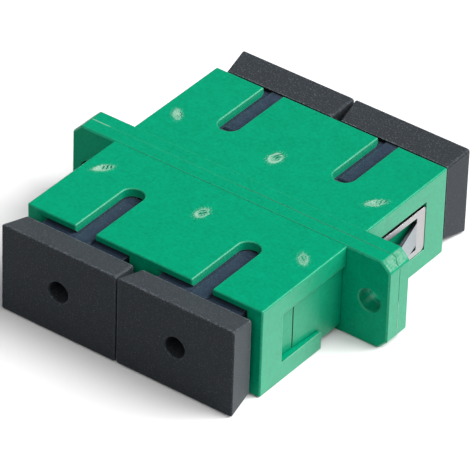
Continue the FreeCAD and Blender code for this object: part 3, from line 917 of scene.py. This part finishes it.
@dataclass
class SeamPiece:
    """What the pieces have in common that the ultrasonic weld pressed out of the seam."""

    top_mm: float = 9.3
    depth_mm: float = 0.06
    flush_mm: float = 0.001
    around: int = 16

    def carry(self, name: str, path: np.ndarray, outward: np.ndarray, height: np.ndarray,
              half_width: np.ndarray, marks: Marks, material: bpy.types.Material) -> None:
        """Carry a lens-shaped section along a path, with its width along y.

        The section's point at bearing t is the path's point, plus the half width times cos t along
        y, plus outward the height times sin t above the face and the depth times sin t below it.

        Args:
            name: the piece's name.
            path: (point, xyz) in millimetres, on the face.
            outward: the face's unit normal at each point.
            height: how far it stands proud at each point, in millimetres.
            half_width: half its width at each point, in millimetres.
            marks: values by attribute name, one for each (point, bearing).
            material: the green plastic.
        """
        bearing = bearings(self.around)[None, :]
        scale = np.where(np.sin(bearing) > 0.0, height[:, None], self.depth_mm)
        rise = np.sin(bearing) * scale - self.flush_mm
        reach = np.cos(bearing) * half_width[:, None]
        across = np.array([0.0, 1.0, 0.0])
        rings = path[:, None, :] + reach[..., None] * across + rise[..., None] * outward[:, None, :]
        add_shell(name, rings, "adapter", material, marks)

    def even_marks(self, whitened: np.ndarray) -> Marks:
        """Marks of a thin piece: the same paleness all round each point, and no painted shade."""
        pale = np.repeat(whitened[:, None], self.around, axis=1)
        return {"whitened": pale, "painted_shade": np.zeros_like(pale)}


@dataclass
class LeftBead(SeamPiece):
    """The bead that fills the seam on the left of the top band, torn pale near the ear's end."""

    ends_mm: tuple[float, float] = (-16.5, -0.3)
    points: int = 320
    half_width_mm: float = 0.05
    torn_stops_mm: tuple[float, float, float, float] = (-16.5, -16.2, -14.7, -14.1)
    torn_swell: float = 0.1
    torn_paleness: float = 0.6

    def build(self, material: bpy.types.Material) -> None:
        """Build the bead: a section without height, carried straight along x."""
        x = np.linspace(*self.ends_mm, self.points)
        flat = np.zeros_like(x)
        torn = plateau(self.torn_stops_mm, x)
        path = np.stack([x, flat, flat + self.top_mm], axis=-1)
        outward = np.stack([flat, flat, flat + 1.0], axis=-1)
        half_width = self.half_width_mm * (1.0 + self.torn_swell * torn)
        self.carry("weld_bead_left", path, outward, flat, half_width,
                   self.even_marks(self.torn_paleness * torn), material)


@dataclass
class EarPiece(SeamPiece):
    """A seam piece over the right ear's bevelled corner; way 0 is where its first arc starts."""

    ear_mm: float = 17.45
    corner_mm: float = 0.95
    corner_radius_mm: float = 0.45
    bevel_deg: float = 45.0
    lead_mm: float = 0.3
    points: int = 400
    fine_points: int = 20001

    def outline(self) -> tuple[np.ndarray, np.ndarray, np.ndarray]:
        """Walk over the ear's top corner and down its edge, in the plane of the seam.

        The path is the flat top, an arc, the bevel, an arc and the upright edge. Its heading only
        changes on the arcs, evenly with the way, so points come from adding up short steps along
        the heading.

        Returns:
            The way in millimetres, the points (point, xyz) and the outward unit normals.
        """
        tangent = self.corner_radius_mm * math.tan(math.radians(self.bevel_deg / 2.0))
        arc = self.corner_radius_mm * math.radians(self.bevel_deg)
        bevel = self.corner_mm * math.sqrt(2.0) - 2.0 * tangent
        upright = self.top_mm - 2.0 * self.corner_mm - tangent
        stops = np.cumsum([0.0, self.lead_mm, arc, bevel, arc, upright])
        turns = np.radians(np.array([0.0, 0.0, 1.0, 1.0, 2.0, 2.0]) * self.bevel_deg)
        way = np.linspace(0.0, stops[-1], self.points)
        fine_way = np.linspace(0.0, stops[-1], self.fine_points)
        heading = np.interp(fine_way, stops, turns)
        step = fine_way[1] - fine_way[0]
        start = self.ear_mm - self.corner_mm - tangent - self.lead_mm
        x = start + np.cumsum(np.cos(heading)) * step
        z = self.top_mm - np.cumsum(np.sin(heading)) * step
        angle = np.interp(way, fine_way, heading)
        level = np.zeros_like(way)
        points = [np.interp(way, fine_way, x), level, np.interp(way, fine_way, z)]
        outward = [np.sin(angle), level, np.cos(angle)]
        return way - self.lead_mm, np.stack(points, axis=-1), np.stack(outward, axis=-1)


@dataclass
class RightScuff(EarPiece):
    """The weld's pale, wrinkled scuff and dark crack on the ear's bevel, in painted shade."""

    around: int = 160
    half_width_mm: float = 1.36
    ends_mm: tuple[float, float] = (-0.05, 1.75)
    window_stops_mm: tuple[float, float, float, float] = (0.05, 0.3, 1.25, 1.5)
    side_ends: tuple[float, float] = (0.9, 1.0)
    lift_mm: float = 0.004
    lift_stops_mm: tuple[float, float, float, float] = (0.05, 0.35, 1.2, 1.5)
    # Partly stress whitening and partly a painted sheen on the bevel.
    paleness: float = 0.38
    wrinkle: float = 0.12
    fine_mm: float = 0.22
    fine_squeeze: float = 0.5
    fine_seed: int = 71
    coarse_mm: float = 0.7
    coarse_seed: int = 73
    crack_at_mm: float = 0.1
    crack_sway_mm: float = 0.12
    crack_lean: float = 0.1
    crack_wave_mm: float = 0.9
    crack_seed: int = 17
    crack_ends_mm: tuple[float, float] = (0.03, 0.09)
    # Painted shade laid over the whole scuff.
    shadow: float = 0.3

    def build(self, material: bpy.types.Material) -> None:
        """Build the scuff: a wide section along the bevel, with marks on its upper side only.

        Args:
            material: the green plastic.
        """
        way, path, outward = self.outline()
        kept = (way > self.ends_mm[0]) & (way < self.ends_mm[1])
        way, path, outward = way[kept], path[kept], outward[kept]
        bearing = bearings(self.around)
        s, y = np.meshgrid(way, self.half_width_mm * np.cos(bearing), indexing="ij")
        sides = 1.0 - soft_step(*self.side_ends, np.abs(y) / self.half_width_mm)
        window = (np.sin(bearing) > 0.0) * plateau(self.window_stops_mm, s) * sides
        fine = ripples(s, y * self.fine_squeeze, self.fine_mm, self.fine_seed)
        coarse = ripples(s, y, self.coarse_mm, self.coarse_seed)
        sway = ripples(s, 0.0 * y, self.crack_wave_mm, self.crack_seed)
        crack = self.crack_at_mm + self.crack_sway_mm * sway - self.crack_lean * s
        gap = 1.0 - soft_step(*self.crack_ends_mm, np.abs(y - crack))
        pale = np.clip(self.paleness + self.wrinkle * (fine + coarse), 0.0, 1.0)
        lift = self.lift_mm * plateau(self.lift_stops_mm, way)
        # Painted shade: dark all over the scuff and darkest along the crack.
        self.carry(
            "weld_scuff_right", path, outward, lift, np.full_like(way, self.half_width_mm),
            {"whitened": window * pale, "painted_shade": window * np.maximum(self.shadow, gap)}, material)


@dataclass
class RightFlash(EarPiece):
    """The jagged flash on the ear's bevel, which runs down as a thin line in the seam's groove."""

    corner_stops_mm: tuple[float, float, float, float] = (0.3, 0.6, 1.1, 1.35)
    low_ends_mm: tuple[float, float] = (4.9, 5.6)
    jag_mm: float = 0.35
    jag_seed: int = 9
    height_mm: float = 0.03
    most_height_mm: float = 0.05
    half_width_mm: float = 0.012
    corner_widening_mm: float = 0.02
    low_widening_mm: float = 0.018
    low_jag: float = 0.4
    low_jag_ends: tuple[float, float] = (0.3, 1.5)
    off_seam_mm: float = 0.03
    sway_mm: float = 0.04
    sway_wave_mm: float = 1.3
    sway_seed: int = 17
    corner_paleness: float = 0.4
    low_paleness: float = 0.8

    def build(self, material: bpy.types.Material) -> None:
        """Build the flash: a narrow section along the outline, jagged on the corner.

        Args:
            material: the green plastic.
        """
        way, path, outward = self.outline()
        level = np.zeros_like(way)
        jag = ripples(way, level, self.jag_mm, self.jag_seed)
        low = soft_step(*self.low_ends_mm, way)
        on_corner = plateau(self.corner_stops_mm, way)
        height = on_corner * np.clip(self.height_mm * (1.0 + jag), 0.0, self.most_height_mm)
        ragged = np.clip(1.0 + self.low_jag * jag, *self.low_jag_ends)
        half_width = (self.half_width_mm + self.corner_widening_mm * on_corner
                      + self.low_widening_mm * low * ragged)
        sway = on_corner * ripples(way, level, self.sway_wave_mm, self.sway_seed)
        path = path + np.stack([level, self.off_seam_mm + self.sway_mm * sway, level], axis=-1)
        pale = np.clip(self.corner_paleness * on_corner + self.low_paleness * low, 0.0, 1.0)
        self.carry("weld_flash_right", path, outward, height, half_width,
                   self.even_marks(pale), material)


def towards(azimuth_deg: float, elevation_deg: float) -> Vector:
    """Unit vector from the adapter towards a place; azimuth 0 is in front and 90 to the right."""
    azimuth, elevation = math.radians(azimuth_deg), math.radians(elevation_deg)
    return Vector((math.sin(azimuth) * math.cos(elevation),
                   -math.cos(azimuth) * math.cos(elevation), math.sin(elevation)))


@dataclass(frozen=True)
class SoftSun:
    """A soft light from far away, with its strength in watts per square metre."""

    name: str
    azimuth_deg: float
    elevation_deg: float
    strength: float
    softness_deg: float

    def make(self) -> None:
        """Add the light to the scene."""
        data = bpy.data.lights.new(self.name, "SUN")
        data.energy = self.strength
        data.angle = math.radians(self.softness_deg)
        light = add_object(self.name, data)
        aim = towards(self.azimuth_deg, self.elevation_deg)
        light.rotation_euler = aim.to_track_quat("Z", "Y").to_euler()


@dataclass
class Studio:
    """Pale table, soft light and the camera at the photograph's angle.

    The camera's numbers come from fitting the adapter's corners to the photograph. The main light
    stands on the right, the low rim light behind it brightens the edges between the top and the
    right side, and the wide front light reaches the faces that look at the camera.
    """

    azimuth_deg: float = 35.63
    elevation_deg: float = 35.65
    roll_deg: float = 1.92
    distance_mm: float = 451.6
    target_mm: tuple[float, float, float] = (0.35, -0.84, 4.50)
    focal_px: float = 5107.7
    frame_px: float = 470.0
    sensor_mm: float = 36.0
    clip_m: tuple[float, float] = (0.01, 20.0)
    table_mm: float = 3000.0
    table_colour: str = "#cccccc"
    table_roughness: float = 0.9
    sky_strength: float = 0.05
    suns: tuple[SoftSun, ...] = (
        SoftSun("main light", 117.0, 51.0, 5.85, 45.0),
        SoftSun("rim light", 138.6, 24.0, 2.4, 30.0),
        SoftSun("front light", 12.0, 45.0, 1.85, 60.0),
    )

    def make_camera(self) -> None:
        """Set up the camera and make it the scene's own."""
        data = bpy.data.cameras.new("camera")
        data.sensor_width = self.sensor_mm
        data.lens = self.focal_px / self.frame_px * self.sensor_mm
        data.clip_start, data.clip_end = self.clip_m
        camera = add_object("camera", data)
        back = towards(self.azimuth_deg, self.elevation_deg)
        level = Vector((0.0, 0.0, 1.0)).cross(back).normalized()
        upright = back.cross(level)
        roll = math.radians(self.roll_deg)
        right = level * math.cos(roll) + upright * math.sin(roll)
        up = upright * math.cos(roll) - level * math.sin(roll)
        turn = Matrix((right, up, back)).transposed().to_4x4()
        place = Vector(self.target_mm) * MM + back * self.distance_mm * MM
        camera.matrix_world = Matrix.Translation(place) @ turn
        bpy.context.scene.camera = camera

    def make_table(self) -> None:
        """Lay the pale table under the adapter."""
        half = self.table_mm * MM / 2
        corners = [(-half, -half, 0.0), (half, -half, 0.0), (half, half, 0.0), (-half, half, 0.0)]
        mesh = bpy.data.meshes.new("table")
        mesh.from_pydata(corners, [], [(0, 1, 2, 3)])
        table = add_object("table", mesh)
        material = bpy.data.materials.new("matt white card")
        material.use_nodes = True
        shader = material.node_tree.nodes["Principled BSDF"]
        shader.inputs["Base Color"].default_value = linear(self.table_colour)
        shader.inputs["Roughness"].default_value = self.table_roughness
        mesh.materials.append(material)

    def make_sky(self) -> None:
        """Light everything weakly from all round."""
        world = bpy.data.worlds.new("studio")
        world.use_nodes = True
        sky = world.node_tree.nodes["Background"]
        sky.inputs["Color"].default_value = (1.0, 1.0, 1.0, 1.0)
        sky.inputs["Strength"].default_value = self.sky_strength
        bpy.context.scene.world = world

    def build(self) -> None:
        """Set the stage, the light and the camera."""
        self.make_camera()
        self.make_table()
        for sun in self.suns:
            sun.make()
        self.make_sky()
        view = bpy.context.scene.view_settings
        view.view_transform = "Standard"
        view.look = "None"


def dress_nodes(finishes: dict[Finish, bpy.types.Material]) -> None:
    """Give every solid of the frame the finish that its slot names."""
    slots = {part["node"]: part["material_slot"] for part in frame["record"]["subparts"]}
    for name, node in frame["nodes"].items():
        node.data.materials.clear()
        node.data.materials.append(finishes[Finish(slots[name])])
        log.info("dressed %s", name)


def main() -> None:
    """Build the stage, the finishes and the added pieces in order."""
    logging.basicConfig(level=logging.INFO, format="%(message)s")
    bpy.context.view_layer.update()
    Studio().build()
    finishes = make_finishes()
    dress_nodes(finishes)
    torn_skin = MouldedGreenPlastic(name="green polyester, torn skin", has_edges=False).make()
    for maker in (GateScars(), LeftBead(), RightScuff(), RightFlash()):
        maker.build(torn_skin)


if __name__ == "__main__":
    main()
